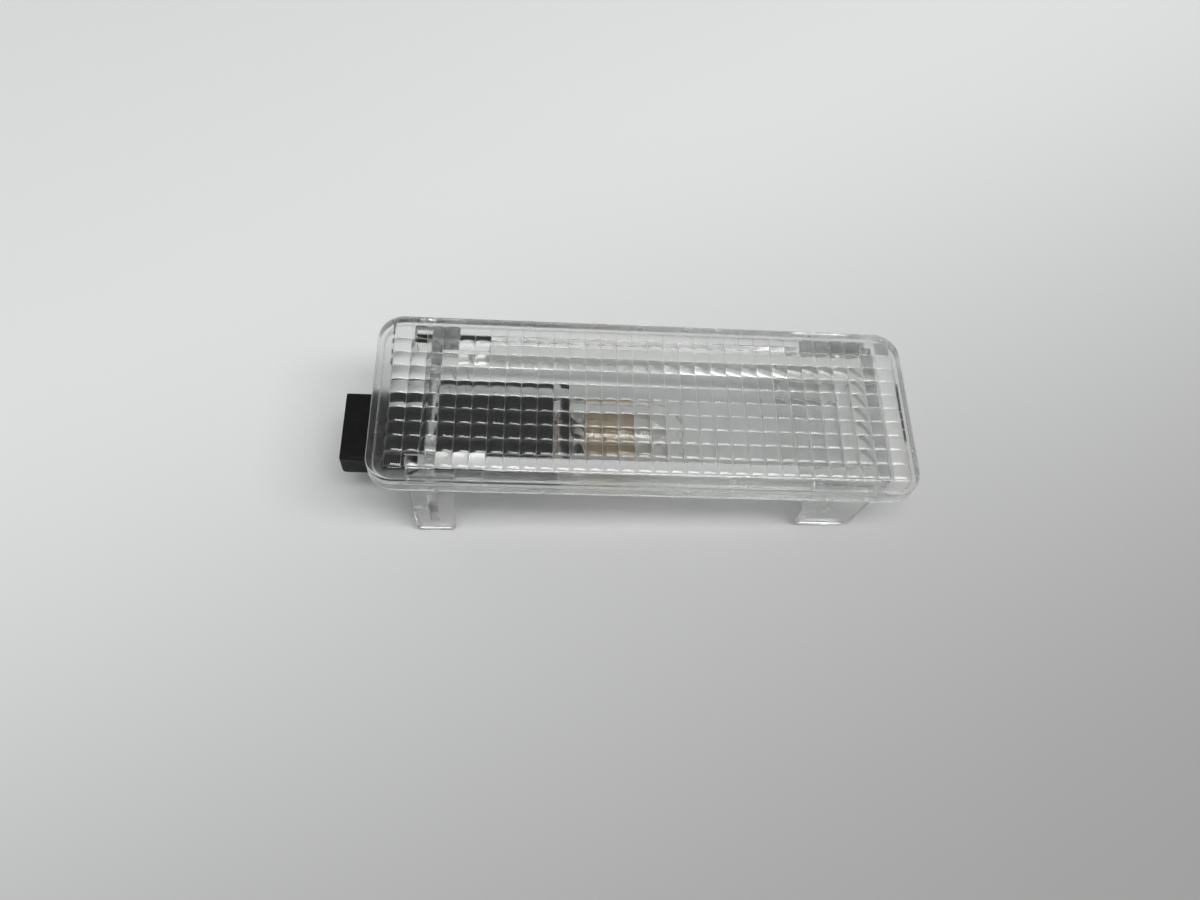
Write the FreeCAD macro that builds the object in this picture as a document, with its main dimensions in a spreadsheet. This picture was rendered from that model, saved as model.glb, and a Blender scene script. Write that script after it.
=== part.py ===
# Trunk light: a clear one-piece lens housing with a pillow-optic face and four legs,
# a black slide-in bulb holder with a flat plug end, two sprung contacts and a wedge-base bulb.
# Frame: origin at the centre of the rim's underside, +Z out through the lens, +X along the length
# away from the plug, Y across. Millimetres.

import FreeCAD, Part
import math
import os
import Sketcher

V = FreeCAD.Vector
doc = FreeCAD.newDocument("trunk_light")

# Driving dimensions
VALUES = [
    ("flange_length", 81.6, "rim, along X"),
    ("flange_width", 28.4, "rim, across Y"),
    ("rim_height", 3.2, "rim underside to the top of its border"),
    ("corner_radius", 4.0, "rim corners seen from above"),
    ("edge_radius", 0.4, "rounding of the rim's upper outer edge"),
    ("rim_wall", 0.9, "width of the seat lip under the rim"),
    ("cavity_depth", 1.4, "rim underside up to the lens underside"),
    ("cell_pitch", 2.4, "side of one pillow"),
    ("cell_columns", 32, "pillows along X"),
    ("cell_rows", 10, "pillows across Y"),
    ("grid_shift", 0.4, "grid centre ahead of the rim centre: the plug-end border is wider"),
    ("pillow_radius", 3.2, "spherical face of one pillow"),
    ("crest_rise", 0.9, "rim border up to the pillow crests"),
    ("optic_floor", 2.4, "underside of the pillow plate, sunk in the rim"),
    ("root_overlap", 0.4, "how far ribs and legs run up into the lens plate"),
    ("leg_half", 12.6, "centre to the outer face of the legs, which go through the panel"),
    ("skirt_half", 11.6, "centre to the outer face of the skirts"),
    ("skirt_wall", 1.9, "skirt thickness"),
    ("skirt_depth", 3.0, "skirts, gussets and end rib below the rim underside"),
    ("rib_wall", 1.2, "bulkhead, gusset and end rib thickness"),
    ("end_rib_x", 35.0, "inner face of the end rib"),
    ("bulkhead_x", -32.4, "plug-side face of the bulkhead"),
    ("bulkhead_sill", 1.5, "bar of the bulkhead below its window"),
    ("gusset_half", 10.2, "centre to the outer face of the gussets that brace the bulkhead"),
    ("gusset_end_x", -24.2, "free end of the gussets"),
    ("leg_wall", 1.6, "leg thickness"),
    ("plug_leg_x_out", -35.0, "plug-end leg, outer edge at the root"),
    ("plug_leg_x_in", -28.1, "plug-end leg, inner edge at the root"),
    ("plug_leg_taper_out", 0.3, "plug-end leg, outer edge draws in by this at the foot"),
    ("plug_leg_taper_in", 0.6, "plug-end leg, inner edge draws in by this at the foot"),
    ("plug_leg_depth", 17.7, "plug-end leg below the rim underside"),
    ("plug_foot_radius", 0.7, "corners of the plug-end feet"),
    ("ledge_depth", 9.5, "catch ledge on the plug-end leg below the rim underside"),
    ("ledge_relief", 0.4, "leg set back above the ledge"),
    ("far_leg_x_in", 24.9, "far leg, inner edge at the root"),
    ("far_leg_x_out", 35.6, "far leg, outer edge at the root"),
    ("far_leg_taper_in", 0.3, "far leg, inner edge draws in by this at the foot"),
    ("far_leg_taper_out", 1.8, "far leg, outer edge draws in by this at the foot"),
    ("far_leg_depth", 12.3, "far leg below the rim underside"),
    ("far_foot_radius", 1.4, "corners of the far feet"),
    ("slide_clearance", 0.15, "bulb holder to the bulkhead window, each side"),
    ("stop_gap", 0.02, "holder shoulder to the bulkhead when home"),
    ("bulb_axis_z", -8.6, "bulb axis below the rim underside"),
    ("block_half", 5.15, "half width of the holder's block and of the plug's mouth"),
    ("block_rise", 4.9, "half height of the holder's block, about the bulb axis"),
    ("block_wall", 0.65, "side walls of the holder's block"),
    ("block_back", 3.4, "solid back of the block, which the contacts pass through"),
    ("holder_mouth_x", -12.4, "bulb end of the holder"),
    ("plug_end_x", -46.3, "outer end of the plug"),
    ("plug_width", 11.8, "plug, across Y"),
    ("plug_height", 4.9, "plug, along Z"),
    ("plug_axis_z", -9.1, "middle of the plug and its blades"),
    ("plug_hollow_height", 2.3, "plug mouth, along Z"),
    ("plug_hollow_depth", 6.0, "plug mouth, along X"),
    ("neck_start_x", -39.2, "where the plug steps down to its neck"),
    ("neck_drop", 0.75, "top of the plug down to the neck"),
    ("plug_edge_radius", 0.45, "long edges of the plug"),
    ("plug_end_chamfer", 0.6, "lower edge of the plug's end"),
    ("strip_gauge", 0.4, "contact strip thickness"),
    ("strip_width", 2.0, "contact strip width"),
    ("strip_inner", 2.1, "centre to the inner edge of a strip"),
    ("strip_clearance", 0.05, "strip to its channel, each side"),
    ("strip_tip_x", -13.4, "tips of the contact fingers"),
    ("strip_back_x", -22.9, "back of the contact fork"),
    ("strip_bend_x", -25.2, "where the tail starts up to the blade"),
    ("strip_bend_run", 1.6, "length of that slope along X"),
    ("blade_end_setback", 1.1, "blade tip inside the plug's end"),
    ("contact_gap", 0.04, "contact finger to lead wire"),
    ("wedge_thickness", 2.2, "bulb base, along Z"),
    ("wedge_half", 4.2, "half width of the bulb base"),
    ("wedge_end_x", -21.0, "end of the bulb base"),
    ("fork_clearance", 0.2, "contact fork to the roof and floor of the block's chamber"),
    ("bulb_radius", 4.8, "glass envelope"),
    ("bulb_wall", 0.6, "glass thickness"),
    ("neck_radius", 1.6, "envelope where it meets the base"),
    ("neck_x", -12.0, "start of the envelope's shoulder"),
    ("shoulder_x", -9.4, "end of the shoulder, start of the straight glass"),
    ("dome_x", 1.0, "centre of the round end"),
    ("chamber_x", -9.0, "start of the chamber inside"),
    ("lead_diameter", 0.34, "lead wire"),
    ("lead_offset", 3.2, "centre to each lead wire"),
    ("lead_gap", 0.02, "folded lead to the base's face"),
    ("lead_top_x", -3.0, "inner end of each lead"),
    ("lead_turn_x", -21.3, "where each lead turns back"),
    ("lead_fold_x", -15.5, "outer end of each folded lead"),
    ("filament_radius", 0.2, "coil, drawn as a plain rod"),
    ("filament_x", -3.4, "coil position along the bulb"),
]
sheet = doc.addObject("Spreadsheet::Sheet", "dims")
for row, (alias, value, note) in enumerate(VALUES, start=1):
    sheet.set(f"A{row}", alias)
    sheet.set(f"B{row}", str(value))
    sheet.set(f"C{row}", note)
    sheet.setAlias(f"B{row}", alias)
doc.recompute()


class Dim:
    """A length as the sheet knows it: the formula that binds it, and its value now."""

    def __init__(self, text, value):
        self.text = text
        self.value = value

    def __add__(self, other):
        other = dim(other)
        return Dim(f"({self.text} + {other.text})", self.value + other.value)

    def __sub__(self, other):
        other = dim(other)
        return Dim(f"({self.text} - {other.text})", self.value - other.value)

    def __mul__(self, other):
        other = dim(other)
        return Dim(f"({self.text} * {other.text})", self.value * other.value)

    def __truediv__(self, other):
        other = dim(other)
        return Dim(f"({self.text} / {other.text})", self.value / other.value)

    def __rsub__(self, other):
        return dim(other) - self

    def __neg__(self):
        return dim(0) - self


def dim(x):
    """A Dim from a sheet alias, a plain number or a Dim."""
    if isinstance(x, Dim):
        return x
    if isinstance(x, str):
        return Dim(f"dims.{x}", float(sheet.get(x)))
    return Dim(repr(float(x)), float(x))


def bind(obj, prop, length):
    """Ties a property to the sheet."""
    obj.setExpression(prop, dim(length).text)


def sketch(body, name, role, lift):
    """An empty sketch on one of the body's own origin planes, lifted along that plane's normal."""
    made = body.newObject("Sketcher::SketchObject", name)
    plane = [f for f in body.Origin.OriginFeatures if f.Role == role][0]
    made.AttachmentSupport = [(plane, "")]
    made.MapMode = "FlatFace"
    bind(made, "AttachmentOffset.Base.z", lift)
    return made


def place(sk, geo, pos, u, v):
    """Holds one sketch point at distances u and v from the sketch origin."""
    for kind, length in (("DistanceX", dim(u)), ("DistanceY", dim(v))):
        k = sk.addConstraint(Sketcher.Constraint(kind, -1, 1, geo, pos, length.value))
        bind(sk, f"Constraints[{k}]", length)


def outline(body, name, role, lift, corners):
    """A closed polygon sketch with every corner tied to the sheet."""
    sk = sketch(body, name, role, lift)
    at = [V(dim(u).value, dim(v).value, 0) for u, v in corners]
    n = len(at)
    for i in range(n):
        sk.addGeometry(Part.LineSegment(at[i], at[(i + 1) % n]), False)
    for i in range(n):
        sk.addConstraint(Sketcher.Constraint("Coincident", i, 2, (i + 1) % n, 1))
    for i, (u, v) in enumerate(corners):
        place(sk, i, 1, u, v)
    return sk


def rectangle(body, name, role, lift, u0, v0, u1, v1):
    """A rectangle sketch between two opposite corners."""
    return outline(body, name, role, lift, [(u0, v0), (u1, v0), (u1, v1), (u0, v1)])


def rounded(body, name, role, lift, half_u, half_v, radius):
    """A rectangle sketch about the origin, with round corners. Arcs are 0 to 3, the lines after them 4 to 7."""
    sk = sketch(body, name, role, lift)
    u = dim(half_u) - radius
    v = dim(half_v) - radius
    r = dim(radius).value
    quarter = math.pi / 2
    for k, (side, end) in enumerate(((1, -1), (1, 1), (-1, 1), (-1, -1))):
        circle = Part.Circle(V(side * u.value, end * v.value, 0), V(0, 0, 1), r)
        sk.addGeometry(Part.ArcOfCircle(circle, (k - 1) * quarter, k * quarter), False)
    arcs = sk.Geometry
    for k in range(4):
        sk.addGeometry(Part.LineSegment(arcs[k].EndPoint, arcs[(k + 1) % 4].StartPoint), False)
    for k in range(4):
        sk.addConstraint(Sketcher.Constraint("Tangent", k, 2, 4 + k, 1))
        sk.addConstraint(Sketcher.Constraint("Tangent", 4 + k, 2, (k + 1) % 4, 1))
        sk.addConstraint(Sketcher.Constraint("Horizontal" if k % 2 else "Vertical", 4 + k))
    k = sk.addConstraint(Sketcher.Constraint("Radius", 0, r))
    bind(sk, f"Constraints[{k}]", radius)
    for other in (1, 2, 3):
        sk.addConstraint(Sketcher.Constraint("Equal", 0, other))
    place(sk, 0, 3, u, -v)
    place(sk, 2, 3, -u, v)
    return sk


def disc(body, name, role, lift, u, v, radius):
    """A circle sketch."""
    sk = sketch(body, name, role, lift)
    centre = V(dim(u).value, dim(v).value, 0)
    sk.addGeometry(Part.Circle(centre, V(0, 0, 1), dim(radius).value), False)
    place(sk, 0, 3, u, v)
    k = sk.addConstraint(Sketcher.Constraint("Radius", 0, dim(radius).value))
    bind(sk, f"Constraints[{k}]", radius)
    return sk


def pad(body, name, profile, length, reverse=False):
    """Adds material along the sketch normal, or against it with reverse."""
    before = body.Shape.Volume if body.Tip else 0.0
    made = body.newObject("PartDesign::Pad", name)
    made.Profile = profile
    bind(made, "Length", length)
    made.Reversed = reverse
    body.Tip = made
    doc.recompute()
    if body.Shape.Volume <= before + 1e-6:
        raise RuntimeError(f"{name} adds nothing")
    return made


def pocket(body, name, profile, length, reverse=False):
    """Takes material away against the sketch normal, or along it with reverse."""
    before = body.Shape.Volume
    made = body.newObject("PartDesign::Pocket", name)
    made.Profile = profile
    bind(made, "Length", length)
    made.Reversed = reverse
    body.Tip = made
    doc.recompute()
    if not 0 < body.Shape.Volume < before - 1e-6:
        raise RuntimeError(f"{name} cuts nothing, or everything")
    return made


def dress(body, name, kind, prop, size, pick):
    """A fillet or chamfer on the edges of the body that pick accepts, given each edge's middle and ends."""
    doc.recompute()
    base = body.Tip
    edges = []
    for i, edge in enumerate(base.Shape.Edges, start=1):
        middle = edge.valueAt((edge.FirstParameter + edge.LastParameter) / 2)
        if len(edge.Vertexes) == 2 and pick(middle, edge.Vertexes[0].Point, edge.Vertexes[1].Point):
            edges.append(f"Edge{i}")
    made = body.newObject(kind, name)
    made.Base = (base, edges)
    bind(made, prop, size)
    body.Tip = made
    doc.recompute()
    return made


def near(a, b, tolerance=0.02):
    """True if two lengths are the same within the tolerance."""
    return abs(a - dim(b).value) < tolerance


# Shared positions
half_length = dim("flange_length") / 2
half_width = dim("flange_width") / 2
hollow_x = half_length - dim("rim_wall")
hollow_y = half_width - dim("rim_wall")
root_z = dim("cavity_depth") + dim("root_overlap")
window_half = dim("block_half") + dim("slide_clearance")
window_rise = dim("block_rise") + dim("slide_clearance")
window_low = dim("bulb_axis_z") - window_rise
rib_half = dim("leg_half") - dim("leg_wall") / 2
shoulder = dim("bulkhead_x") - dim("stop_gap")

# Lens housing: rim and the hollow underneath
housing = doc.addObject("PartDesign::Body", "housing_body")
rim = rounded(housing, "rim_outline", "XY_Plane", 0, half_length, half_width, "corner_radius")
pad(housing, "rim", rim, "rim_height")
dress(housing, "rim_edge", "PartDesign::Fillet", "Radius", "edge_radius",
      lambda m, a, b: near(m.z, "rim_height"))
hollow = rounded(housing, "hollow_outline", "XY_Plane", 0, hollow_x, hollow_y,
                 dim("corner_radius") - dim("rim_wall"))
pocket(housing, "hollow", hollow, "cavity_depth", reverse=True)

# Bulkhead with the window that the bulb holder slides through
bulkhead = rectangle(housing, "bulkhead_outline", "YZ_Plane", "bulkhead_x",
                     -rib_half, window_low - dim("bulkhead_sill"), rib_half, root_z)
pad(housing, "bulkhead", bulkhead, "rib_wall")
window = rectangle(housing, "window_outline", "YZ_Plane", "bulkhead_x",
                   -window_half, window_low, window_half, dim("bulb_axis_z") + window_rise)
pocket(housing, "window", window, "rib_wall", reverse=True)

# End rib at the other end
end_rib = rectangle(housing, "end_rib_outline", "YZ_Plane", "end_rib_x",
                    -rib_half, -dim("skirt_depth"), rib_half, root_z)
pad(housing, "end_rib", end_rib, "rib_wall")

# Front half of the paired features: skirt, gusset and two legs, then their mirror across the length
skirt = rectangle(housing, "skirt_outline", "XY_Plane", root_z,
                  "plug_leg_x_out", -dim("skirt_half"),
                  dim("end_rib_x") + dim("rib_wall"), dim("skirt_wall") - dim("skirt_half"))
skirt_pad = pad(housing, "skirt", skirt, root_z + dim("skirt_depth"), reverse=True)
gusset = rectangle(housing, "gusset_outline", "XY_Plane", root_z,
                   "bulkhead_x", -dim("gusset_half"), "gusset_end_x", dim("rib_wall") - dim("gusset_half"))
gusset_pad = pad(housing, "gusset", gusset, root_z + dim("skirt_depth"), reverse=True)
plug_leg = outline(housing, "plug_leg_outline", "XZ_Plane", dim("leg_half") - dim("leg_wall"), [
    ("plug_leg_x_out", root_z),
    (dim("plug_leg_x_out") + dim("plug_leg_taper_out"), -dim("plug_leg_depth")),
    (dim("plug_leg_x_in") - dim("plug_leg_taper_in"), -dim("plug_leg_depth")),
    ("plug_leg_x_in", root_z),
])
plug_leg_pad = pad(housing, "plug_leg", plug_leg, "leg_wall")
far_leg = outline(housing, "far_leg_outline", "XZ_Plane", dim("leg_half") - dim("leg_wall"), [
    ("far_leg_x_in", root_z),
    (dim("far_leg_x_in") + dim("far_leg_taper_in"), -dim("far_leg_depth")),
    (dim("far_leg_x_out") - dim("far_leg_taper_out"), -dim("far_leg_depth")),
    ("far_leg_x_out", root_z),
])
far_leg_pad = pad(housing, "far_leg", far_leg, "leg_wall")
ledge = rectangle(housing, "ledge_outline", "XZ_Plane", "leg_half",
                  dim("plug_leg_x_out") - dim("rib_wall"), -dim("ledge_depth"), "bulkhead_x", 0)
ledge_cut = pocket(housing, "ledge", ledge, "ledge_relief")
paired = housing.newObject("PartDesign::Mirrored", "rear_half")
paired.Originals = [skirt_pad, gusset_pad, plug_leg_pad, far_leg_pad, ledge_cut]
paired.MirrorPlane = ([f for f in housing.Origin.OriginFeatures if f.Role == "XZ_Plane"][0], [""])
housing.Tip = paired
doc.recompute()
dress(housing, "plug_feet", "PartDesign::Fillet", "Radius", "plug_foot_radius",
      lambda m, a, b: near(m.z, -dim("plug_leg_depth")) and abs(a.y - b.y) > 1)
dress(housing, "far_feet", "PartDesign::Fillet", "Radius", "far_foot_radius",
      lambda m, a, b: near(m.z, -dim("far_leg_depth")) and abs(a.y - b.y) > 1)

# One pillow: a square cell cut from a ball whose poles lie along X, clear of the crest
cell_box = doc.addObject("Part::Box", "cell_box")
bind(cell_box, "Length", "cell_pitch")
bind(cell_box, "Width", "cell_pitch")
bind(cell_box, "Height", "pillow_radius")
bind(cell_box, "Placement.Base.x", -dim("cell_pitch") / 2)
bind(cell_box, "Placement.Base.y", -dim("cell_pitch") / 2)
bind(cell_box, "Placement.Base.z", "optic_floor")
cell_ball = doc.addObject("Part::Sphere", "cell_ball")
bind(cell_ball, "Radius", "pillow_radius")
cell_ball.Placement = FreeCAD.Placement(V(0, 0, 0), FreeCAD.Rotation(V(0, 1, 0), 90))
bind(cell_ball, "Placement.Base.z", dim("rim_height") + dim("crest_rise") - dim("pillow_radius"))
cell = doc.addObject("Part::Common", "pillow_cell")
cell.Base = cell_box
cell.Tool = cell_ball
doc.recompute()


def optic_plate():
    """All the pillows as one solid: each cell's ball face and floor, and the outer cells' side walls."""
    pitch = dim("cell_pitch").value
    columns = int(dim("cell_columns").value)
    rows = int(dim("cell_rows").value)
    tops = []
    sides = {}
    for face in cell.Shape.Faces:
        centre = face.CenterOfMass
        if isinstance(face.Surface, Part.Sphere) or near(centre.z, "optic_floor"):
            tops.append(face)
        elif abs(centre.x) > abs(centre.y):
            sides[("x", centre.x > 0)] = face
        else:
            sides[("y", centre.y > 0)] = face
    faces = []
    for i in range(columns):
        for j in range(rows):
            x = dim("grid_shift").value + (i - (columns - 1) / 2) * pitch
            y = (j - (rows - 1) / 2) * pitch
            here = list(tops)
            if i in (0, columns - 1):
                here.append(sides[("x", i > 0)])
            if j in (0, rows - 1):
                here.append(sides[("y", j > 0)])
            faces += [face.translated(V(x, y, 0)) for face in here]
    shell = Part.makeShell(faces)
    shell.sewShape()
    solid = Part.makeSolid(shell.Shells[0] if shell.ShapeType != "Shell" else shell)
    if solid.Volume < 0:
        solid.reverse()
    return solid.removeSplitter()


optic = doc.addObject("Part::Feature", "optic_plate")
optic.Shape = optic_plate()
lens_housing = doc.addObject("Part::Fuse", "lens_housing")
lens_housing.Base = housing
lens_housing.Tool = optic
lens_housing.Refine = True
doc.recompute()

# Bulb holder: flat plug with its mouth and neck, then the block whose chamber takes contacts and bulb base
holder = doc.addObject("PartDesign::Body", "bulb_holder")
plug_half = dim("plug_width") / 2
plug_low = dim("plug_axis_z") - dim("plug_height") / 2
plug_high = dim("plug_axis_z") + dim("plug_height") / 2
plug = rectangle(holder, "plug_outline", "YZ_Plane", "plug_end_x", -plug_half, plug_low, plug_half, plug_high)
pad(holder, "plug", plug, shoulder - dim("plug_end_x"))
dress(holder, "plug_end_bevel", "PartDesign::Chamfer", "Size", "plug_end_chamfer",
      lambda m, a, b: near(m.x, "plug_end_x") and near(m.z, plug_low) and abs(a.y - b.y) > 1)
dress(holder, "plug_edges", "PartDesign::Fillet", "Radius", "plug_edge_radius",
      lambda m, a, b: abs(a.x - b.x) > 1)
mouth_half = dim("plug_hollow_height") / 2
mouth = rectangle(holder, "mouth_outline", "YZ_Plane", "plug_end_x",
                  -dim("block_half"), dim("plug_axis_z") - mouth_half,
                  "block_half", dim("plug_axis_z") + mouth_half)
pocket(holder, "mouth", mouth, "plug_hollow_depth", reverse=True)
neck = rectangle(holder, "neck_outline", "XY_Plane", plug_high,
                 "neck_start_x", -plug_half, shoulder, plug_half)
pocket(holder, "neck", neck, "neck_drop")
block_low = dim("bulb_axis_z") - dim("block_rise")
block_high = dim("bulb_axis_z") + dim("block_rise")
block = rectangle(holder, "block_outline", "YZ_Plane", shoulder,
                  -dim("block_half"), block_low, "block_half", block_high)
pad(holder, "block", block, dim("holder_mouth_x") - shoulder)
strip_outer = dim("strip_inner") + dim("strip_width")
lead_radius = dim("lead_diameter") / 2
lead_rise = dim("wedge_thickness") / 2 + dim("lead_gap") + lead_radius
fork_in = lead_rise + lead_radius + dim("contact_gap")
fork_out = fork_in + dim("strip_gauge")
chamber_half = dim("block_half") - dim("block_wall")
chamber_rise = fork_out + dim("fork_clearance")
chamber_back = shoulder + dim("block_back")
chamber = rectangle(holder, "chamber_outline", "YZ_Plane", "holder_mouth_x",
                    -chamber_half, dim("bulb_axis_z") - chamber_rise,
                    chamber_half, dim("bulb_axis_z") + chamber_rise)
pocket(holder, "chamber", chamber, dim("holder_mouth_x") - chamber_back)
channel_half = dim("strip_gauge") / 2 + dim("strip_clearance")
channel = rectangle(holder, "channel_outline", "YZ_Plane", chamber_back,
                    -strip_outer - dim("strip_clearance"), dim("plug_axis_z") - channel_half,
                    dim("strip_clearance") - dim("strip_inner"), dim("plug_axis_z") + channel_half)
channel_cut = pocket(holder, "channel", channel, chamber_back - dim("plug_end_x") - dim("plug_hollow_depth"))
channels = holder.newObject("PartDesign::Mirrored", "channels")
channels.Originals = [channel_cut]
channels.MirrorPlane = ([f for f in holder.Origin.OriginFeatures if f.Role == "XZ_Plane"][0], [""])
holder.Tip = channels
doc.recompute()

# Contacts: one folded strip each, a fork round the bulb base with a tail out to the plug blade
gauge = dim("strip_gauge")
axis = dim("bulb_axis_z")
blade_low = dim("plug_axis_z") - gauge / 2
blade_tip = dim("plug_end_x") + dim("blade_end_setback")
tail_x = dim("strip_bend_x") - dim("strip_bend_run")
strip = [
    ("strip_tip_x", axis + fork_out),
    ("strip_back_x", axis + fork_out),
    ("strip_back_x", axis - fork_in),
    ("strip_bend_x", axis - fork_in),
    (tail_x, blade_low + gauge),
    (blade_tip, blade_low + gauge),
    (blade_tip, blade_low),
    (tail_x - gauge / 2, blade_low),
    (dim("strip_bend_x") - gauge / 2, axis - fork_out),
    ("strip_tip_x", axis - fork_out),
    ("strip_tip_x", axis - fork_in),
    (dim("strip_back_x") + gauge, axis - fork_in),
    (dim("strip_back_x") + gauge, axis + fork_in),
    ("strip_tip_x", axis + fork_in),
]
contacts = []
for name, lift in (("contact_front", dim("strip_inner")), ("contact_rear", -strip_outer)):
    body = doc.addObject("PartDesign::Body", name)
    pad(body, f"{name}_strip", outline(body, f"{name}_outline", "XZ_Plane", lift, strip), "strip_width")
    contacts.append(body)

# Bulb: hollow glass envelope with a flat wedge base, drawn about its own axis and lowered into place
AXIS_X = FreeCAD.Rotation(V(0, 1, 0), 90)


def along_x(kind, name, x, sizes):
    """A round primitive lying along X from x, on the bulb's axis."""
    made = doc.addObject(kind, name)
    made.Placement = FreeCAD.Placement(V(0, 0, 0), AXIS_X)
    bind(made, "Placement.Base.x", x)
    bind(made, "Placement.Base.z", "bulb_axis_z")
    for prop, length in sizes.items():
        bind(made, prop, length)
    return made


inner_radius = dim("bulb_radius") - dim("bulb_wall")
shoulder_cone = along_x("Part::Cone", "bulb_shoulder", "neck_x", {
    "Radius1": "neck_radius", "Radius2": "bulb_radius", "Height": dim("shoulder_x") - dim("neck_x")})
tube = along_x("Part::Cylinder", "bulb_tube", "shoulder_x", {
    "Radius": "bulb_radius", "Height": dim("dome_x") - dim("shoulder_x")})
dome = along_x("Part::Sphere", "bulb_dome", "dome_x", {"Radius": "bulb_radius"})
wedge = doc.addObject("Part::Box", "bulb_wedge")
bind(wedge, "Length", dim("shoulder_x") - dim("wedge_end_x"))
bind(wedge, "Width", dim("wedge_half") * 2)
bind(wedge, "Height", "wedge_thickness")
bind(wedge, "Placement.Base.x", "wedge_end_x")
bind(wedge, "Placement.Base.y", -dim("wedge_half"))
bind(wedge, "Placement.Base.z", dim("bulb_axis_z") - dim("wedge_thickness") / 2)
body_outside = doc.addObject("Part::MultiFuse", "bulb_outside")
body_outside.Shapes = [shoulder_cone, tube, dome, wedge]
chamber_tube = along_x("Part::Cylinder", "chamber_tube", "chamber_x", {
    "Radius": inner_radius, "Height": dim("dome_x") - dim("chamber_x")})
chamber_dome = along_x("Part::Sphere", "chamber_dome", "dome_x", {"Radius": inner_radius})
holes = []
for name, side in (("front", -1), ("rear", 1)):
    hole = along_x("Part::Cylinder", f"lead_hole_{name}", dim("wedge_end_x") - 1, {
        "Radius": lead_radius, "Height": dim("dome_x") - dim("wedge_end_x")})
    bind(hole, "Placement.Base.y", dim("lead_offset") * side)
    holes.append(hole)
body_inside = doc.addObject("Part::MultiFuse", "bulb_inside")
body_inside.Shapes = [chamber_tube, chamber_dome] + holes
bulb_glass = doc.addObject("Part::Cut", "bulb_glass")
bulb_glass.Base = body_outside
bulb_glass.Tool = body_inside
bulb_glass.Refine = True

# Lead wires: straight through the base, then folded back along one of its faces
leads = []
for name, side, fold in (("lead_front", 1, 1), ("lead_rear", -1, -1)):
    body = doc.addObject("PartDesign::Body", name)
    bind(body, "Placement.Base.z", "bulb_axis_z")
    path = sketch(body, f"{name}_path", "XZ_Plane", dim("lead_offset") * side)
    rise = lead_rise.value * fold
    x0 = dim("lead_top_x").value
    x1 = dim("lead_turn_x").value
    x2 = dim("lead_fold_x").value
    path.addGeometry(Part.LineSegment(V(x0, 0, 0), V(x1, 0, 0)), False)
    turn = Part.Arc(V(x1, 0, 0), V(x1 - abs(rise) / 2, rise / 2, 0), V(x1, rise, 0))
    path.addGeometry(turn, False)
    path.addGeometry(Part.LineSegment(V(x1, rise, 0), V(x2, rise, 0)), False)
    ends = (2, 1) if fold > 0 else (1, 2)
    path.addConstraint(Sketcher.Constraint("Tangent", 0, 2, 1, ends[0]))
    path.addConstraint(Sketcher.Constraint("Tangent", 1, ends[1], 2, 1))
    place(path, 0, 1, "lead_top_x", 0)
    place(path, 0, 2, "lead_turn_x", 0)
    place(path, 2, 2, "lead_fold_x", lead_rise * fold)
    path.addConstraint(Sketcher.Constraint("Horizontal", 2))
    wire = disc(body, f"{name}_section", "YZ_Plane", "lead_top_x", -dim("lead_offset") * side, 0, lead_radius)
    sweep = body.newObject("PartDesign::AdditivePipe", f"{name}_sweep")
    sweep.Profile = wire
    sweep.Spine = (path, ["Edge1", "Edge2", "Edge3"])
    body.Tip = sweep
    leads.append(body)

# Filament: stretched between the two leads
filament = doc.addObject("Part::Cylinder", "filament")
filament.Placement = FreeCAD.Placement(V(0, 0, 0), FreeCAD.Rotation(V(1, 0, 0), -90))
bind(filament, "Radius", "filament_radius")
bind(filament, "Height", (dim("lead_offset") - lead_radius) * 2)
bind(filament, "Placement.Base.x", "filament_x")
bind(filament, "Placement.Base.y", lead_radius - dim("lead_offset"))
bind(filament, "Placement.Base.z", "bulb_axis_z")
doc.recompute()

# Nothing is written unless every object and every piece is sound
PIECES = [lens_housing, holder] + contacts + [bulb_glass, filament] + leads
for obj in doc.Objects:
    if "Invalid" in obj.State or "Error" in obj.State:
        raise RuntimeError(f"{obj.Name} failed: {obj.State}")
for piece in PIECES:
    piece.Label = piece.Name
    if piece.Shape.isNull() or not piece.Shape.isValid() or len(piece.Shape.Solids) != 1:
        raise RuntimeError(f"{piece.Label} is not one sound solid")
os.makedirs("parts", exist_ok=True)
for piece in PIECES:
    piece.Shape.exportStep(f"parts/{piece.Label}.step")
    box = piece.Shape.BoundBox
    print(f"{piece.Label}: {box.XLength:.2f} x {box.YLength:.2f} x {box.ZLength:.2f} mm,"
          f" {piece.Shape.Volume:.1f} mm3, {len(piece.Shape.Faces)} faces")
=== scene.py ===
# %% [markdown]
# A clear trunk light, dressed for a studio picture.
# The solids come from the CAD frame: a clear housing, a black bulb holder, two contacts and a bulb.
# This lesson keeps every solid where it is and gives it the looks of the real lamp: a lens of small round
# pillows, edges that are a little soft, glass with a heat stain, and a coil instead of a rod.

# %% Load the CAD frame
import math
import bmesh
import bpy
import numpy as np
from mathutils import Matrix


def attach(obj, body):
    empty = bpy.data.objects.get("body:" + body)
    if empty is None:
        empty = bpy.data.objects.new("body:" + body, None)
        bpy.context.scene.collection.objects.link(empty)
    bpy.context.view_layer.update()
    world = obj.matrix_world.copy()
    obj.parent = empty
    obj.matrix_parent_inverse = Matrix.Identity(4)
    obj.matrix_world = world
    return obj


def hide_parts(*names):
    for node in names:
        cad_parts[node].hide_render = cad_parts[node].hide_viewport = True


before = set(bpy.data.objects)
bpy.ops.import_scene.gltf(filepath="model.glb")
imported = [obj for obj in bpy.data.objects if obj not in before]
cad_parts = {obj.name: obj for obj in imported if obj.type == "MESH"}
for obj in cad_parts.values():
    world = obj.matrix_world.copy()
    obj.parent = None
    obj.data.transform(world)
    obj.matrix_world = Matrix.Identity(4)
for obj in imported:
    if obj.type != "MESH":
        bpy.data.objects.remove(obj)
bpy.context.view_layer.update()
MM = 0.001

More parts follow.
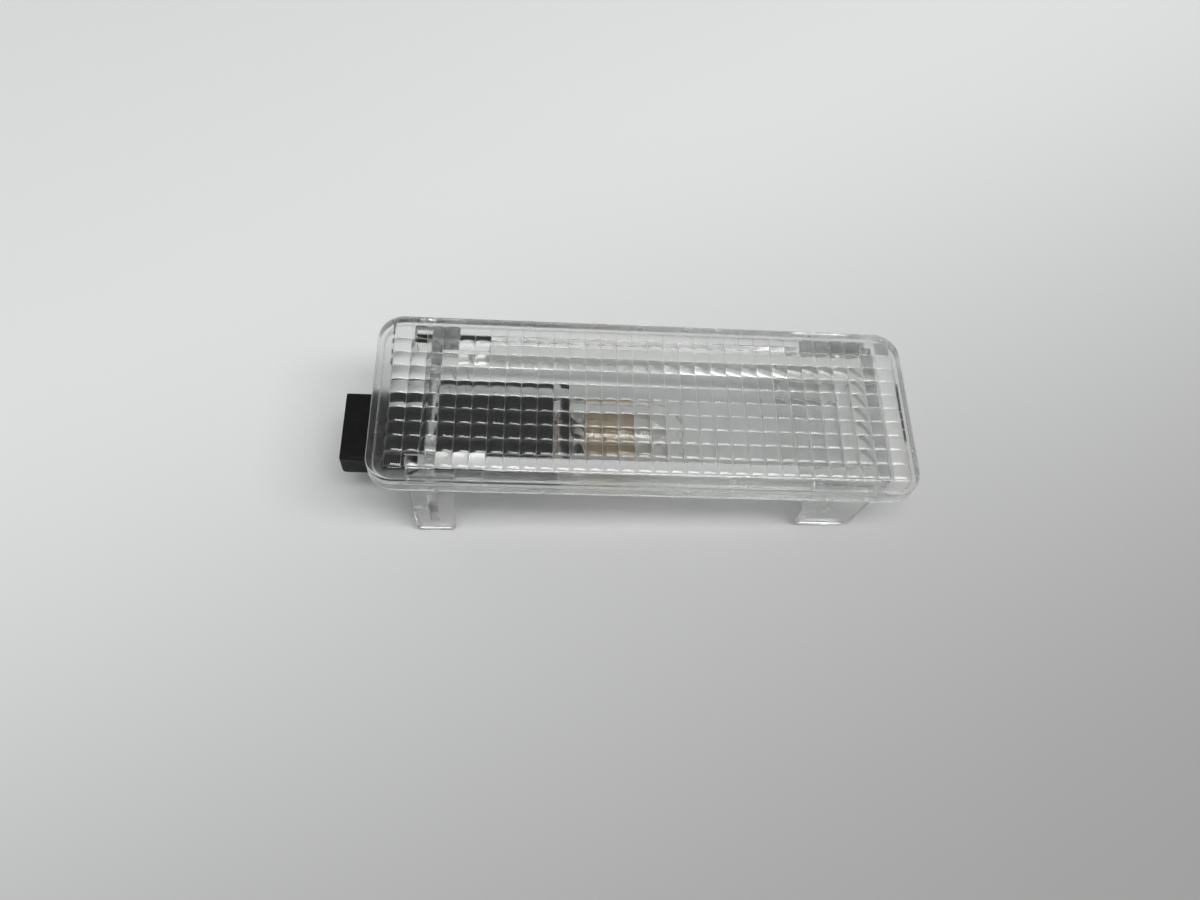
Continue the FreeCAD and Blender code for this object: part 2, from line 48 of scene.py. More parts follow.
# %% [markdown]
# Every new piece here is a surface over a grid of two parameters. One function turns such a grid of points
# into a mesh, so that each shape is only its own formula. A direction that comes back to its start, such as
# the way round a tube, is wrapped, and an open end of a tube is closed with one flat polygon.


# %% From a grid of points to a mesh
def quads_of(index):
    """Corner (u, v) with (u+1, v), (u+1, v+1) and (u, v+1), for every cell of a grid of vertex numbers."""
    return np.stack([index[:-1, :-1], index[1:, :-1], index[1:, 1:], index[:-1, 1:]], -1).reshape(-1, 4)


def grid_mesh(name, points, wrap=False, ends=False):
    """A mesh over points[u, v]: wrap joins the last v to the first, ends closes the first and last u."""
    rows, columns = points.shape[:2]
    index = np.arange(rows * columns).reshape(rows, columns)
    round_index = np.concatenate([index, index[:, :1]], 1) if wrap else index
    faces = quads_of(round_index).tolist()
    if ends:
        faces += [index[0].tolist(), index[-1, ::-1].tolist()]
    mesh = bpy.data.meshes.new(name)
    mesh.from_pydata(points.reshape(-1, 3).tolist(), [], faces)
    return mesh


def piece(name, mesh):
    """Puts a mesh into the scene as an object at the origin, unturned."""
    made = bpy.data.objects.new(name, mesh)
    bpy.context.scene.collection.objects.link(made)
    return made


def outward(mesh):
    """Makes every closed shell of a mesh face outwards."""
    work = bmesh.new()
    work.from_mesh(mesh)
    bmesh.ops.recalc_face_normals(work, faces=work.faces)
    work.to_mesh(mesh)
    work.free()


print("helpers ready: grid_mesh, piece, outward")

# %% [markdown]
# Moulded plastic has no knife edges: the tool leaves a radius of a tenth of a millimetre or two, and that
# radius is what draws the bright and dark lines along clear plastic. The CAD nodes are loose triangles, so
# the edge is worked on a copy: corners are merged, flat triangles joined, and sharp edges bevelled.

# %% A soft-edged copy of a CAD node
SHARP = math.radians(33)
FLAT = math.radians(0.6)
WELD = 0.002 * MM


def merged_copy(node, cuts=(), top=None):
    """A joined mesh of a CAD node: doubles merged, and triangles in one plane made one face.

    Each cut is a point, in millimetres, and the normal of a plane through it. Faces are kept apart there,
    so that a flat ring becomes two or four plain polygons. What stands above top is pressed down to it.
    """
    work = bmesh.new()
    work.from_mesh(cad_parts[node].data)
    bmesh.ops.remove_doubles(work, verts=work.verts, dist=WELD)
    if top is not None:
        for vert in work.verts:
            vert.co.z = min(vert.co.z, top * MM)
    for point, normal in cuts:
        everything = work.verts[:] + work.edges[:] + work.faces[:]
        made = bmesh.ops.bisect_plane(work, geom=everything, dist=WELD,
                                      plane_co=np.array(point) * MM, plane_no=normal)
        for edge in made["geom_cut"]:
            if isinstance(edge, bmesh.types.BMEdge):
                edge.seam = True
    bmesh.ops.dissolve_limit(work, angle_limit=FLAT, verts=work.verts, edges=work.edges, delimit={"SEAM"})
    mesh = bpy.data.meshes.new(node + "_copy")
    work.to_mesh(mesh)
    work.free()
    return mesh


def sharp_edges(mesh, skip=None):
    """Marks for bevel the edges that turn by more than SHARP, leaving out points for which skip is true."""
    work = bmesh.new()
    work.from_mesh(mesh)
    turn = np.array([e.calc_face_angle(0.0) for e in work.edges])
    work.free()
    ends = np.zeros(len(mesh.edges) * 2, np.int32)
    mesh.edges.foreach_get("vertices", ends)
    co = np.zeros(len(mesh.vertices) * 3)
    mesh.vertices.foreach_get("co", co)
    weight = (turn > SHARP).astype(float)
    if skip:
        left_out = skip(co.reshape(-1, 3) / MM)[ends.reshape(-1, 2)]
        weight[left_out.all(1)] = 0.0
    mesh.attributes.new("bevel_weight_edge", "FLOAT", "EDGE").data.foreach_set("value", weight)
    return int(weight.sum())


def applied(obj):
    """Replaces an object's mesh by what its modifiers make of it, and removes them."""
    graph = bpy.context.evaluated_depsgraph_get()
    mesh = bpy.data.meshes.new_from_object(obj.evaluated_get(graph))
    obj.modifiers.clear()
    obj.data = mesh


def soften(obj, width):
    """Bevels the marked edges of an object by width, in millimetres."""
    bevel = obj.modifiers.new("soft_edge", "BEVEL")
    bevel.limit_method = "WEIGHT"
    bevel.width = width * MM
    bevel.segments = 2
    bevel.use_clamp_overlap = False
    applied(obj)


def smooth(obj, angle=SHARP):
    """Smooth shading up to an angle, with big faces holding their own normal against small ones."""
    obj.data.shade_smooth()
    obj.data.set_sharp_from_angle(angle=angle)
    even = obj.modifiers.new("even_normals", "WEIGHTED_NORMAL")
    even.keep_sharp = True


print("helpers ready: merged_copy, sharp_edges, applied, soften, smooth")

# %% [markdown]
# The face of the lamp is a field of 32 by 10 round pillows that spreads the bulb's light. Each pillow is a
# cap of a ball, and its steep near slope mirrors the ceiling light as a fine stroke. A height field is the
# natural form: the height at a point is that of the nearest ball, and a smooth maximum with the balls next
# to it gives the narrow valley that the tool leaves. The grid's lines lie close together in the valleys.

# %% The pillow face
PITCH = 2.4
COLUMNS, ROWS = 32, 10
GRID_SHIFT = 0.4
BALL = 3.2
RIM_TOP = 3.2
CREST_RISE = 0.87
CREST = RIM_TOP + CREST_RISE
VALLEY = 0.015
HALF_X, HALF_Y = PITCH * COLUMNS / 2, PITCH * ROWS / 2


def smooth_max(a, b, k):
    """The larger of a and b, rounded where they differ by less than k: max + (k - |a - b|)^2 / 4k."""
    near = np.clip(k - np.abs(a - b), 0, None)
    return np.maximum(a, b) + near * near / (4 * k)


def pillow_height(x, y):
    """Height of the pillow field: a ball's cap over each cell, blended with the caps next to it."""
    a = np.abs((x - GRID_SHIFT + HALF_X) % PITCH - PITCH / 2)
    b = np.abs((y + HALF_Y) % PITCH - PITCH / 2)

    def cap(u, v):
        return CREST - BALL + np.sqrt(np.clip(BALL * BALL - u * u - v * v, 0, None))

    along = smooth_max(cap(a, b), cap(PITCH - a, b), VALLEY)
    beside = smooth_max(cap(a, PITCH - b), cap(PITCH - a, PITCH - b), VALLEY)
    return smooth_max(along, beside, VALLEY)


def cell_lines(cells, centre):
    """Grid lines over a row of cells, close together beside each valley."""
    half = np.array([0.0, 0.025, 0.06, 0.12, 0.2, 0.35, 0.6, 0.9])
    one = np.concatenate([half, [PITCH / 2], PITCH - half[:0:-1]])
    lines = (np.arange(cells)[:, None] * PITCH + one[None, :]).ravel()
    return np.append(lines, cells * PITCH) - cells * PITCH / 2 + centre


def pillow_slab():
    """The pillow field as a closed slab: the height field, a sloping margin and one flat bottom polygon.

    The margin runs out by flare while it drops to bottom, so it meets the rim's border about a quarter of
    a mm past the pillows. The bottom's four tips are cut off, or its triangles and the margin's could use
    one line twice.
    """
    flare, bottom = 1.0, 2.0
    lines_x = cell_lines(COLUMNS, GRID_SHIFT)
    lines_y = cell_lines(ROWS, 0.0)
    lines_x = np.concatenate([[lines_x[0] - flare], lines_x, [lines_x[-1] + flare]])
    lines_y = np.concatenate([[lines_y[0] - flare], lines_y, [lines_y[-1] + flare]])
    x, y = np.meshgrid(lines_x, lines_y, indexing="ij")
    z = np.full_like(x, bottom)
    z[1:-1, 1:-1] = pillow_height(x[1:-1, 1:-1], y[1:-1, 1:-1])
    index = np.arange(x.size).reshape(x.shape)
    ring = np.concatenate([index[0, 1:-1], index[1:-1, -1], index[-1, -2:0:-1], index[-2:0:-1, 0]])
    tips = index[[0, 0, -1, -1], [0, -1, 0, -1]].tolist()
    quads = [[v for v in quad if v not in tips] for quad in quads_of(index).tolist()]
    points = np.stack([x, y, z], -1).reshape(-1, 3) * MM
    mesh = bpy.data.meshes.new("pillow_slab")
    mesh.from_pydata(points.tolist(), [], quads + [ring.tolist()])
    outward(mesh)
    return mesh


slab_mesh = pillow_slab()
print("pillow slab:", len(slab_mesh.polygons), "faces")

# %% [markdown]
# The real housing is one moulding, so its clear body has to be one closed skin: light bends only where it
# goes in and out, and an inner wall between two pieces would show as a grey sheet. The slab is therefore
# joined to a soft-edged copy of the CAD housing, its coarse pillows pressed flat, with a Boolean union.

# %% The lens housing as one clear skin
NEAR = 0.01
PRESSED_TOP = RIM_TOP + 0.05
LENS_EDGE = 0.14


def in_pillows(co):
    """True for points of the CAD pillows, which the slab covers."""
    inside = (np.abs(co[:, 0] - GRID_SHIFT) < HALF_X + NEAR) & (np.abs(co[:, 1]) < HALF_Y + NEAR)
    return inside & (co[:, 2] > RIM_TOP - NEAR)


middle = (GRID_SHIFT, 0.0, 0.0)
clear_mesh = merged_copy("lens_housing", [(middle, (1, 0, 0)), (middle, (0, 1, 0))], PRESSED_TOP)
marked = sharp_edges(clear_mesh, in_pillows)
lens = piece("clear_lens_housing", clear_mesh)
soften(lens, LENS_EDGE)
slab = piece("pillow_slab", slab_mesh)
union = lens.modifiers.new("one_skin", "BOOLEAN")
union.operation = "UNION"
union.solver = "MANIFOLD"
union.object = slab
applied(lens)
bpy.data.objects.remove(slab)
smooth(lens)
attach(lens, "housing")
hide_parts("lens_housing")
print("lens housing:", marked, "soft edges,", len(lens.data.polygons), "faces")

# %% [markdown]
# The black holder is a moulding with crisp but not sharp edges. Its copy keeps the CAD form, and a small
# bevel lets the edges of the plug end catch the light. The contacts are stamped strips with a finer edge.

# %% Holder and contacts
HOLDER_EDGE, STRIP_EDGE = 0.16, 0.05
for node, width, slot_name in (
    ("bulb_holder", HOLDER_EDGE, "black_plastic"),
    ("contact_front", STRIP_EDGE, "tinned_bronze"),
    ("contact_rear", STRIP_EDGE, "tinned_bronze"),
):
    soft_mesh = merged_copy(node)
    marked = sharp_edges(soft_mesh)
    made = piece("soft_" + node, soft_mesh)
    soften(made, width)
    smooth(made)
    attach(made, "holder")
    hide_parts(node)
    print(node, "with", marked, "soft edges,", len(made.data.polygons), "faces")

# %% [markdown]
# A wedge-base bulb starts as a glass tube whose end is pinched flat while hot, so its section goes smoothly
# from a flat bar to a circle. A superellipse does that: its exponent falls from 10 to 2 early along the
# shoulder while its two half widths grow to the bulb's radius. The chamber inside is a second closed surface
# that faces inwards, so that the wall has a thickness for light to bend in.

# %% The bulb's glass
BULB_Z = -8.6
BULB_RADIUS, BULB_WALL = 4.8, 0.6
WEDGE_END, NECK, SHOULDER, DOME = -21.0, -12.0, -9.4, 1.0
WEDGE_HALF, WEDGE_THICK = 4.2, 2.2
END_ROUND, END_SHRINK = 0.2, 0.08
FLAT_POWER, ROUND_POWER, EARLY = 10, 2, 1.6
LAST_RING = 0.9999
CHAMBER_FLOOR, CHAMBER_CORNER = SHOULDER + 0.4, 1.2


def ease(t):
    """A smooth step from 0 to 1: 3t^2 - 2t^3."""
    t = np.clip(t, 0, 1)
    return t * t * (3 - 2 * t)


def bulb_rings(x, half_y, half_z, power, around=96):
    """Rings along X: |y / half_y|^power + |z / half_z|^power = 1 at each x."""
    turn = np.linspace(0, 2 * np.pi, around, endpoint=False)[None, :]
    c, s = np.cos(turn), np.sin(turn)
    size = (np.abs(c) ** power[:, None] + np.abs(s) ** power[:, None]) ** (-1 / power[:, None])
    y = half_y[:, None] * c * size
    z = half_z[:, None] * s * size + BULB_Z
    return np.stack([np.broadcast_to(x[:, None], y.shape), y, z], -1) * MM


def bulb_outside():
    """Flat base, pinched shoulder, straight tube and a half ball, as one line of rings."""
    base = WEDGE_END + np.array([0.0, 0.05, 0.2, 1.0, 3.0, 5.0, 7.0, 8.6])
    shoulder = np.linspace(NECK, SHOULDER, 14)
    tube = np.linspace(SHOULDER, DOME, 8)[1:]
    tip = np.sin(np.linspace(0, np.pi / 2, 22)[1:-1])
    x = np.concatenate([base, shoulder, tube, DOME + BULB_RADIUS * tip, [DOME + BULB_RADIUS * LAST_RING]])
    along = (x - NECK) / (SHOULDER - NECK)
    t = ease(along)
    round_end = np.sqrt(np.clip(1 - np.clip((x - DOME) / BULB_RADIUS, 0, 1) ** 2, 0, 1))
    first = 1 - END_SHRINK * np.clip(1 - (x - WEDGE_END) / END_ROUND, 0, 1)
    wide = (WEDGE_HALF + (BULB_RADIUS - WEDGE_HALF) * t) * round_end * first
    thick = (WEDGE_THICK / 2 + (BULB_RADIUS - WEDGE_THICK / 2) * t) * round_end * first
    return bulb_rings(x, wide, thick, FLAT_POWER + (ROUND_POWER - FLAT_POWER) * ease(along * EARLY))


def bulb_inside():
    """The chamber: a round floor with a soft corner, a straight tube and a half ball."""
    radius = BULB_RADIUS - BULB_WALL
    soft = CHAMBER_CORNER
    corner = np.linspace(0, np.pi / 2, 8)
    tube = np.linspace(CHAMBER_FLOOR + soft, DOME, 8)[1:]
    tip = np.linspace(0, np.pi / 2, 22)[1:]
    tip_hole = 0.02
    x = np.concatenate([CHAMBER_FLOOR + soft * (1 - np.cos(corner)), tube, DOME + radius * np.sin(tip)])
    r = np.concatenate([radius - soft + soft * np.sin(corner), np.full(tube.size, radius),
                        np.maximum(radius * np.cos(tip), tip_hole)])
    return bulb_rings(x, r, r, np.full(x.size, float(ROUND_POWER)))


glass = piece("bulb_envelope", grid_mesh("bulb_envelope", bulb_outside(), wrap=True, ends=True))
outward(glass.data)
chamber_mesh = grid_mesh("chamber", bulb_inside(), wrap=True, ends=True)
outward(chamber_mesh)
chamber_mesh.flip_normals()
both = bmesh.new()
both.from_mesh(glass.data)
both.from_mesh(chamber_mesh)
both.to_mesh(glass.data)
both.free()
smooth(glass, math.radians(50))
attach(glass, "bulb")
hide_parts("bulb_glass")
print("bulb glass:", len(glass.data.polygons), "faces")

# %% [markdown]
# Two wires carry the current through the base and fold back over its faces, where the contacts grip them.
# Between their inner ends hangs the filament. A wire is a circle carried along a path, and the coil is the
# same circle on a helix, so one sweep function makes all three.


# %% Lead wires and filament
def sweep(path, radius, around=10):
    """A circle of the given radius carried along a path: path + radius (side cos t + other sin t)."""
    ahead = np.gradient(path, axis=0)
    ahead /= np.linalg.norm(ahead, axis=1, keepdims=True)
    off_axis = np.array([0.31, 0.52, 0.79])
    side = np.cross(ahead, off_axis)
    side /= np.linalg.norm(side, axis=1, keepdims=True)
    other = np.cross(ahead, side)
    t = np.linspace(0, 2 * np.pi, around, endpoint=False)[None, :, None]
    return (path[:, None] + radius * (side[:, None] * np.cos(t) + other[:, None] * np.sin(t))) * MM


def wire(name, path, radius, node, around=10):
    """A swept wire that rides on the bulb in place of a CAD node."""
    made = piece(name, grid_mesh(name, sweep(path, radius, around), wrap=True, ends=True))
    outward(made.data)
    smooth(made, math.radians(60))
    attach(made, "bulb")
    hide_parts(node)
    print(name, len(made.data.polygons), "faces")


LEAD_Y, LEAD_TOP, LEAD_TURN, LEAD_FOLD = 3.2, -3.0, -21.3, -15.5
LEAD_GAP, LEAD_HALF, LEAD_RADIUS = 0.02, 0.17, 0.165
LEAD_RISE = WEDGE_THICK / 2 + LEAD_GAP + LEAD_HALF
COIL_X, COIL_TURNS, COIL_RADIUS, COIL_WIRE = -3.4, 22, 0.155, 0.04
COIL_STEPS, COIL_TAPER = 16, 0.12
bend = np.linspace(0, np.pi, 13)[1:-1]
for name, y, fold in (("lead_front", -LEAD_Y, 1), ("lead_rear", LEAD_Y, -1)):
    x = np.concatenate([np.linspace(LEAD_TOP, LEAD_TURN, 10), LEAD_TURN - LEAD_RISE / 2 * np.sin(bend),
                        np.linspace(LEAD_TURN, LEAD_FOLD, 6)])
    z = np.concatenate([np.zeros(10), LEAD_RISE / 2 * (1 - np.cos(bend)), np.full(6, LEAD_RISE)])
    path = np.stack([x, np.full_like(x, y), BULB_Z + fold * z], -1)
    wire("wire_" + name, path, LEAD_RADIUS, name)

span = LEAD_Y - LEAD_RADIUS
s = np.linspace(-1, 1, COIL_TURNS * COIL_STEPS + 1)
grow = np.clip((1 - np.abs(s)) / COIL_TAPER, 0, 1)
angle = np.pi * COIL_TURNS * s
coil = np.stack([COIL_X + COIL_RADIUS * grow * np.cos(angle), span * s,
                 BULB_Z + COIL_RADIUS * grow * np.sin(angle)], -1)
wire("coil_filament", coil, COIL_WIRE, "filament", around=6)

# %% [markdown]
# A finish is a small sum of masks and noises. To write such sums as plain expressions, one class wraps a
# node's output, and its operators add the Math nodes. Every other node comes from its node method, which
# takes the type, the settings and the sockets. Sockets that stay the same are set straight on the shader.


# %% Shader sums as expressions
class Wire:
    """An output socket that can be used in sums with numbers and other sockets."""

    def __init__(self, tree, socket=None):
        self.tree = tree
        self.socket = socket

    def node(self, kind, settings=None, sockets=None, out=0):
        """A new node: settings first, then its sockets' values or links."""
        made = self.tree.nodes.new(kind)
        for key, value in (settings or {}).items():
            setattr(made, key, value)
        for key, value in (sockets or {}).items():
            if isinstance(value, Wire):
                self.tree.links.new(value.socket, made.inputs[key])
            else:
                made.inputs[key].default_value = value
        return Wire(self.tree, made.outputs[out])

    def sum(self, operation, a, b):
        """A Math node."""
        return self.node("ShaderNodeMath", {"operation": operation}, {0: a, 1: b})

    def __add__(self, other):
        return self.sum("ADD", self, other)

    def __radd__(self, other):
        return self.sum("ADD", other, self)

    def __sub__(self, other):
        return self.sum("SUBTRACT", self, other)

    def __rsub__(self, other):
        return self.sum("SUBTRACT", other, self)

    def __mul__(self, other):
        return self.sum("MULTIPLY", self, other)

    def __rmul__(self, other):
        return self.sum("MULTIPLY", other, self)

    def __abs__(self):
        return self.sum("ABSOLUTE", self, 0.0)

    def fold(self, half):
        """Distance to the nearest multiple of twice half."""
        return self.sum("PINGPONG", self, half)

    def ramp(self, low, high):
        """0 below low, 1 above high, smooth between; with low above high it falls instead."""
        (a, first), (b, last) = sorted([(low, 0.0), (high, 1.0)])
        return self.node("ShaderNodeMapRange", {"interpolation_type": "SMOOTHSTEP"},
                         {"Value": self, "From Min": a, "From Max": b, "To Min": first, "To Max": last})


def noise(at, scale, detail=3.0):
    """A soft noise of about 0 to 1 over points in millimetres, scale being its spots per millimetre."""
    return at.node("ShaderNodeTexNoise", None,
                   {"Vector": at, "Scale": scale, "Detail": detail, "Roughness": 0.55})


def mix(mask, a, b):
    """Colour a where the mask is 0, colour b where it is 1."""
    return mask.node("ShaderNodeMix", {"data_type": "RGBA"}, {0: mask, 6: a, 7: b}, out=2)


def bump(height, distance):
    """A Bump node whose height is in units of distance, in metres."""
    return height.node("ShaderNodeBump", None, {"Height": height, "Distance": distance, "Strength": 1.0})


def finish(name, varying, **fixed):
    """A material of one Principled shader: fixed sockets, and those that varying(at, x, y, z) returns."""
    material = bpy.data.materials.new(name)
    material.use_nodes = True
    tree = material.node_tree
    shader = tree.nodes["Principled BSDF"]
    for key, value in fixed.items():
        shader.inputs[key.replace("_", " ")].default_value = value
    start = Wire(tree)
    place = start.node("ShaderNodeTexCoord", out="Object")
    at = start.node("ShaderNodeVectorMath", {"operation": "SCALE"}, {0: place, "Scale": 1 / MM})
    split = at.node("ShaderNodeSeparateXYZ", None, {0: at}).socket.node
    x, y, z = (Wire(tree, split.outputs[i]) for i in range(3))
    for key, value in varying(at, x, y, z).items():
        tree.links.new(value.socket, shader.inputs[key])
    print("finish", name, "with", len(tree.nodes), "nodes")
    return material


def colour(r, g, b):
    return (r, g, b, 1.0)


def dress(name, material):
    """Gives a piece one material in place of those it has."""
    slots = bpy.data.objects[name].data.materials
    slots.clear()
    slots.append(material)


# %% [markdown]
# Moulded acrylic is nearly colourless. What shows that it has been used are fine scuffs that blur it here
# and there, most of all on the border that hands touch, and dark lines of dust at the foot of the pillow
# field's two ends. The dust is found by its place on the lamp, so it stays there from every side. The
# valleys between the pillows hold a thin grey film with a metallic sheen, partly dust and partly painted
# highlight and painted shade, standing in for what the valleys reflect and bend: it draws the faint grid
# lighter over dark and darker over light.

# %% Clear acrylic
DUST_END_X, DUST_PLUG_X = 39.3, -38.35
DUST_END_Y = (-5.7, -5.1, 4.5, 5.1)
DUST_PLUG_Y = (4.6, 5.4)
FILM_AND_LIGHT_WIDTH = (0.1, 0.03)
FILM_AND_LIGHT_COLUMNS, FILM_AND_LIGHT_ROWS = 0.07, 0.05
BORDER_FROM, BORDER_TO = 0.1, 0.7


def acrylic(at, x, y, z):
    scuffs = noise(at, 0.35).ramp(0.5, 0.75)
    fine = noise(at, 9.0, 2.0)
    at_foot = z.ramp(RIM_TOP - 0.2, RIM_TOP - 0.05) * z.ramp(RIM_TOP + 0.4, RIM_TOP + 0.15)
    y0, y1, y2, y3 = DUST_END_Y
    end_line = abs(x - DUST_END_X).ramp(0.28, 0.15) * y.ramp(y0, y1) * y.ramp(y3, y2)
    end_dust = end_line * at_foot * noise(at, 1.1, 4.0).ramp(0.3, 0.5)
    plug_line = abs(x - DUST_PLUG_X).ramp(0.24, 0.12) * y.ramp(*DUST_PLUG_Y)
    plug_dust = plug_line * at_foot * noise(at, 1.6).ramp(0.45, 0.55)
    dust = end_dust * 0.9 + plug_dust * 0.8
    # Painted highlight and painted shade, with a little dust: a grey, half-metallic film along the valleys
    # draws lighter lines over the black holder and darker lines over the clear field.
    between_columns = (x - GRID_SHIFT).fold(PITCH / 2).ramp(*FILM_AND_LIGHT_WIDTH)
    between_rows = y.fold(PITCH / 2).ramp(*FILM_AND_LIGHT_WIDTH)
    on_pillows = z.ramp(RIM_TOP + 0.1, RIM_TOP + 0.25)
    film_and_painted_light = (between_columns * FILM_AND_LIGHT_COLUMNS + between_rows * FILM_AND_LIGHT_ROWS) * on_pillows
    beside = abs(y).ramp(HALF_Y + BORDER_FROM, HALF_Y + BORDER_TO)
    beyond = abs(x - GRID_SHIFT).ramp(HALF_X + BORDER_FROM, HALF_X + BORDER_TO)
    border = (beside + beyond).ramp(0.0, 1.0)
    clear = mix(noise(at, 0.08), colour(0.92, 0.928, 0.915), colour(0.935, 0.94, 0.928))
    with_film_and_painted_light = mix(film_and_painted_light, clear, colour(0.5, 0.5, 0.49))
    return {
        "Base Color": mix(dust, with_film_and_painted_light, colour(0.03, 0.028, 0.025)),
        "Metallic": film_and_painted_light + dust * 0.9,
        "Roughness": 0.08 + border * 0.16 + scuffs * fine * 0.1 + dust * 0.4 + film_and_painted_light * 4.0,
        "Normal": bump(noise(at, 0.22, 2.0), 0.05 * MM),
    }


dress("clear_lens_housing", finish("clear_acrylic", acrylic, Transmission_Weight=1.0, IOR=1.49))

# %% [markdown]
# The holder is a black moulded plastic: dark, with a fine grain from the tool and a shine that changes a
# little from place to place where fingers have polished it. The contacts are tinned strip, worn yellow here
# and there.


# %% Black plastic and tinned strip
def black(at, x, y, z):
    rubbed = noise(at, 0.4).ramp(0.4, 0.7)
    grain = noise(at, 14.0, 2.0)
    return {
        "Base Color": mix(rubbed, colour(0.005, 0.005, 0.0055), colour(0.009, 0.009, 0.0095)),
        "Roughness": 0.5 - rubbed * 0.12 + grain * 0.08,
        "Normal": bump(grain, 0.01 * MM),
    }


def strip(at, x, y, z):
    worn = noise(at, 0.9).ramp(0.35, 0.7)
    return {
        "Base Color": mix(worn, colour(0.7, 0.68, 0.62), colour(0.62, 0.5, 0.32)),
        "Roughness": 0.24 + worn * 0.16 + noise(at, 8.0) * 0.06,
    }


dress("soft_bulb_holder", finish("black_plastic", black, Specular_IOR_Level=0.16))
tinned_bronze = finish("tinned_bronze", strip, Metallic=1.0)
dress("soft_contact_front", tinned_bronze)
dress("soft_contact_rear", tinned_bronze)

# %% [markdown]
# An old bulb is stained tan by its own heat: metal from the coil settles on the glass round it. The stain
# is a tint that is strongest at the coil and fades along the glass, a little uneven.

# %% Bulb glass, wire and coil
STAIN_START, STAIN_END = (-9.6, -8.4), (0.6, -1.4)


def stained(at, x, y, z):
    patch = x.ramp(*STAIN_START) * x.ramp(*STAIN_END)
    uneven = 0.75 + noise(at, 0.5) * 0.5
    return {
        "Base Color": mix(patch * uneven, colour(0.95, 0.95, 0.94), colour(0.8, 0.72, 0.6)),
        "Roughness": 0.01 + patch * 0.05,
    }


def drawn_wire(at, x, y, z):
    dull = noise(at, 1.5)
    return {
        "Base Color": mix(dull, colour(0.6, 0.52, 0.42), colour(0.45, 0.4, 0.34)),
        "Roughness": 0.25 + dull * 0.2,
    }


def bare_coil(at, x, y, z):
    dull = noise(at, 3.0)
    return {
        "Base Color": mix(dull, colour(0.2, 0.2, 0.21), colour(0.32, 0.31, 0.3)),
        "Roughness": 0.35 + dull * 0.2,
    }


dress("bulb_envelope", finish("bulb_glass", stained, Transmission_Weight=1.0, IOR=1.5))
dress("coil_filament", finish("tungsten", bare_coil, Metallic=1.0))
lead_wire = finish("lead_wire", drawn_wire, Metallic=1.0)
dress("wire_lead_front", lead_wire)
dress("wire_lead_rear", lead_wire)

# %% [markdown]
# The lamp lies on a pale bench. Its plug-end legs are longer than the far ones, so it leans by about five
# degrees, and in the lamp's own frame it is the bench that slopes. The slope eases off beside the lamp, and
# further out the bench is level, so that its far edge is a straight horizon from every side.
# The bench's colour carries a painted shade: it darkens towards the near right side round the lamp, standing
# in for light that falls off there, and is pale again far out.

# %% The bench
FOOT_NEAR, FOOT_FAR = (-29.4, -17.7), (32.4, -12.3)
FOOT_GAP = 0.02
SLOPE_FULL, SLOPE_END = 60.0, 140.0
LEVEL_START, LEVEL_END, BENCH_END = 200.0, 900.0, 4000.0
slope = (FOOT_FAR[1] - FOOT_NEAR[1]) / (FOOT_FAR[0] - FOOT_NEAR[0])


def bench_height(x, y):
    """The line under both pairs of feet, its slope eased off along X and its rise taken back further out."""
    far = np.clip(np.abs(x), 0, SLOPE_END)
    over = np.clip(far - SLOPE_FULL, 0, None)
    run = far - over * over / (2 * (SLOPE_END - SLOPE_FULL))
    kept = 1 - ease((np.hypot(x, y) - LEVEL_START) / (LEVEL_END - LEVEL_START))
    return FOOT_NEAR[1] + slope * (np.sign(x) * run * kept - FOOT_NEAR[0]) - FOOT_GAP


outside = np.append(np.linspace(LEVEL_START, LEVEL_END, 8), BENCH_END)
lines_x = np.concatenate([-outside[::-1], np.linspace(-160, 160, 81), outside])
lines_y = np.concatenate([-outside[::-1], outside])
bench_x, bench_y = np.meshgrid(lines_x, lines_y, indexing="ij")
bench_points = np.stack([bench_x, bench_y, bench_height(bench_x, bench_y)], -1) * MM
bench = piece("bench", grid_mesh("bench", bench_points))
bench.data.shade_smooth()


def paint_and_shade(at, x, y, z):
    tone = noise(at, 0.02)
    away = at.node("ShaderNodeVectorMath", {"operation": "LENGTH"}, {0: at}, out="Value")
    # painted shade: darker towards the near right, for the fall-off of the light, fading back to pale far
    # away
    shade = (x * 0.5 - y).ramp(-80.0, 120.0) * away.ramp(LEVEL_END + 100.0, LEVEL_START + 50.0)
    return {
        "Base Color": mix(shade, colour(0.8, 0.805, 0.803), colour(0.29, 0.29, 0.285)),
        "Roughness": 0.55 + tone * 0.1,
    }


bench.data.materials.append(finish("bench_paint_and_shade", paint_and_shade))
print("bench slope", round(slope, 4), "with", len(bench.data.polygons), "faces")

# %% [markdown]
# One long soft light hangs over the viewer's shoulder, in a room that is paler near the horizon. It is so
# placed that only the near slopes of the pillows mirror it. The camera stands where the photo was taken.
# Light and camera both look along their own -Z, so one function turns two directions into a placement.


# %% Light and camera
def placed(side, back, place):
    """A placement whose X is side, whose Z is back and whose origin is place, in millimetres."""
    turn = np.eye(4)
    turn[:3, :3] = np.stack([side, np.cross(back, side), back], 1)
    turn[:3, 3] = place * MM
    return Matrix(turn.tolist())


def unit(direction):
    return direction / np.linalg.norm(direction)


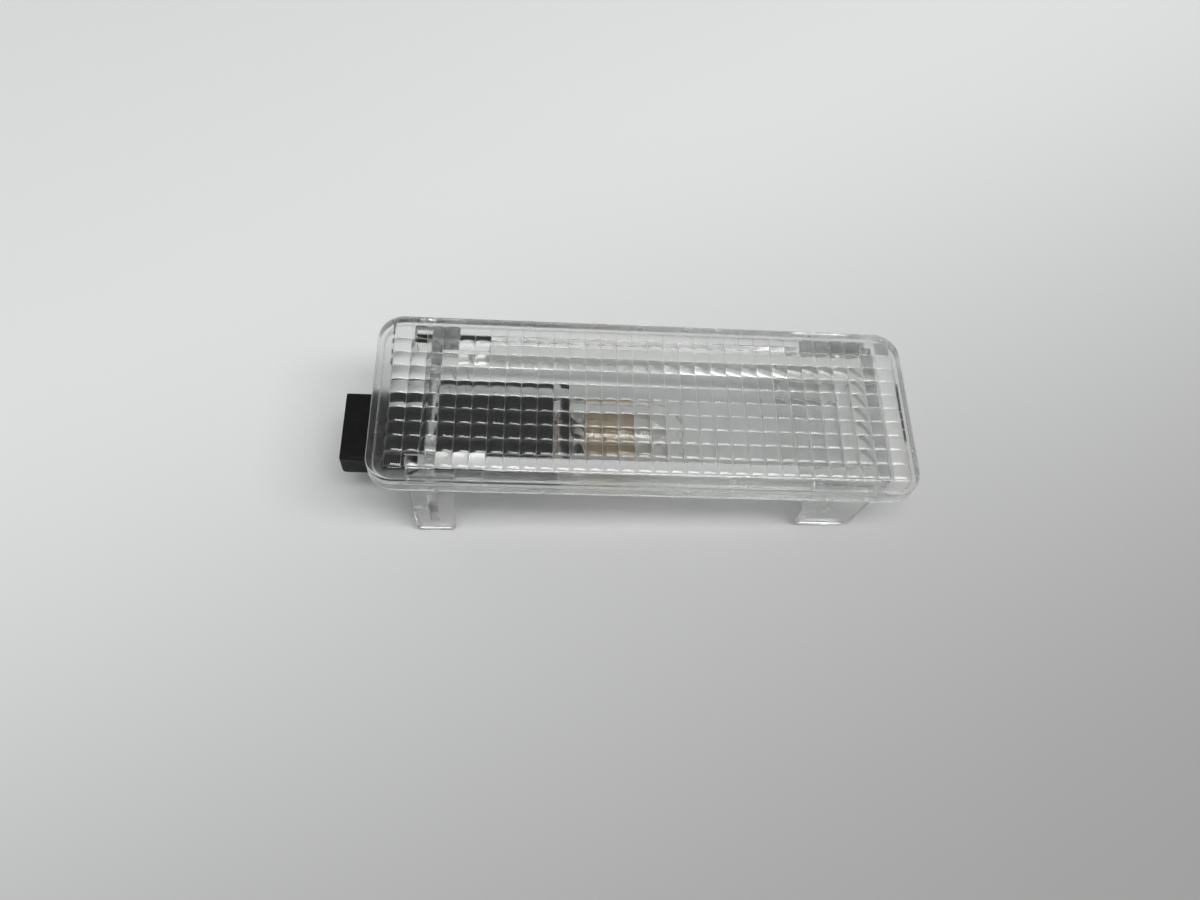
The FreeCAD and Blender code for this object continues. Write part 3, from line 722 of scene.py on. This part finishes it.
LIGHT_PLACE = np.array([147.0, -170.0, 700.0])
LIGHT_LENGTH, LIGHT_WIDTH, LIGHT_WATTS = 798, 169, 4.4
lamp = bpy.data.lights.new("ceiling_light", "AREA")
lamp.shape = "RECTANGLE"
lamp.size = LIGHT_LENGTH * MM
lamp.size_y = LIGHT_WIDTH * MM
lamp.energy = LIGHT_WATTS
ceiling_light = bpy.data.objects.new("ceiling_light", lamp)
bpy.context.scene.collection.objects.link(ceiling_light)
back = unit(LIGHT_PLACE)
ceiling_light.matrix_world = placed(unit(np.cross([0.0, 1.0, 0.0], back)), back, LIGHT_PLACE)

world = bpy.context.scene.world or bpy.data.worlds.new("room")
bpy.context.scene.world = world
world.use_nodes = True
sky = Wire(world.node_tree)
way = sky.node("ShaderNodeTexCoord", out="Generated")
height = way.node("ShaderNodeSeparateXYZ", None, {0: way}, out="Z")
room = mix(height.ramp(0.1, 0.7), colour(0.62, 0.63, 0.635), colour(0.3, 0.305, 0.31))
world.node_tree.links.new(room.socket, world.node_tree.nodes["Background"].inputs["Color"])

EYE = np.array([-18.8, -76.2, 132.0])
AHEAD = np.array([0.080, 0.465, -0.882])
RIGHT = np.array([0.996, -0.012, 0.085])
ahead = unit(AHEAD)
camera = bpy.data.objects.new("camera", bpy.data.cameras.new("camera"))
camera.data.lens = 30.0
camera.data.sensor_width = 36.0
camera.data.clip_start = 0.002
bpy.context.scene.collection.objects.link(camera)
camera.matrix_world = placed(unit(RIGHT - ahead * (RIGHT @ ahead)), -ahead, EYE)
bpy.context.scene.camera = camera
bpy.context.scene.view_settings.view_transform = "Standard"
print("ceiling light at", LIGHT_PLACE.tolist(), "camera at", EYE.tolist())

# %% [markdown]
# Clear plastic round a glass bulb sends a ray through a dozen surfaces before it reaches the bench. The
# renderer is allowed that many turns, or the middle of the lamp would go dark.

# %% Light paths
CLEAR_TURNS, MIRROR_TURNS = 24, 8
cycles = bpy.context.scene.cycles
cycles.max_bounces = CLEAR_TURNS
cycles.transmission_bounces = CLEAR_TURNS
cycles.glossy_bounces = MIRROR_TURNS
